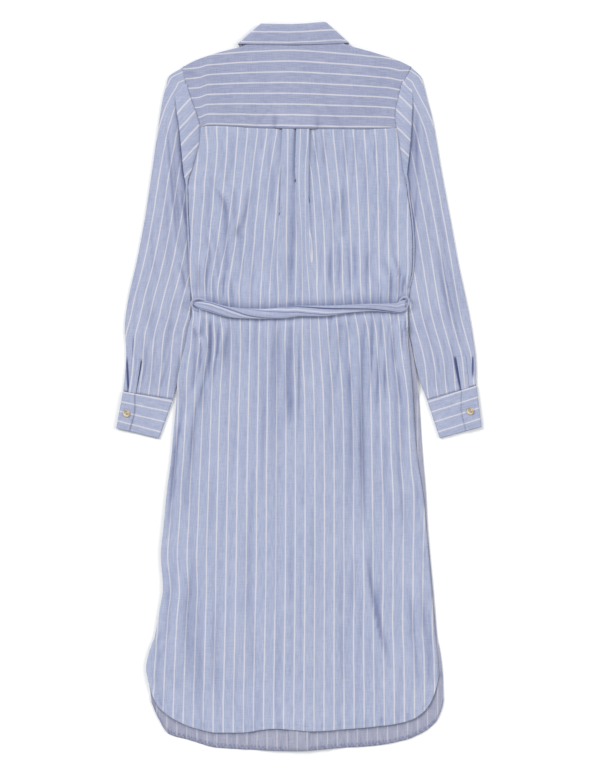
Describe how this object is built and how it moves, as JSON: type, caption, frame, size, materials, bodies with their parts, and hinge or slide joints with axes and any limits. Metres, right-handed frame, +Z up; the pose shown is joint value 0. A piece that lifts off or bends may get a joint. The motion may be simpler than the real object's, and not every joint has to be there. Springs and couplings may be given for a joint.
{
  "type": "shirt dress",
  "caption": "Long-sleeved striped cotton shirt dress with collar, yoke, back box pleat, button cuffs, tie belt and curved shirt-tail hem, laid flat with its back upward.",
  "frame": {"origin": "middle of the underside of the dress as it lies flat, front downward", "axes": "+X across the dress towards its right sleeve, +Y along the dress towards the collar, +Z up from the surface"},
  "size_m": [0.6028, 1.2014, 0.0116],
  "materials": {
    "cloth": "matt woven cotton, blue with thin pale stripes",
    "yoke_cloth": "matt woven cotton, stripes running across",
    "button": "horn-look shirt button, satin"
  },
  "bodies": {
    "root": {"back_panel": "cloth", "back_yoke": "yoke_cloth", "front_left": "cloth", "front_right": "cloth", "band_outer": "cloth", "band_inner": "cloth", "sleeve_left": "cloth", "sleeve_placket_left": "cloth", "cuff_left": "cloth", "sleeve_right": "cloth", "sleeve_placket_right": "cloth", "cuff_right": "cloth", "collar": "yoke_cloth", "collar_stand": "yoke_cloth", "belt": "cloth", "belt_knot": "cloth", "belt_end_left": "cloth", "belt_end_right": "cloth", "belt_loop_left": "cloth", "belt_loop_right": "cloth", "cuff_button_left": "button", "cuff_button_right": "button", "front_button_1": "button", "front_button_2": "button", "front_button_3": "button", "front_button_4": "button", "front_button_5": "button", "front_button_6": "button", "front_button_7": "button", "front_button_8": "button"}
  },
  "joints": []
}
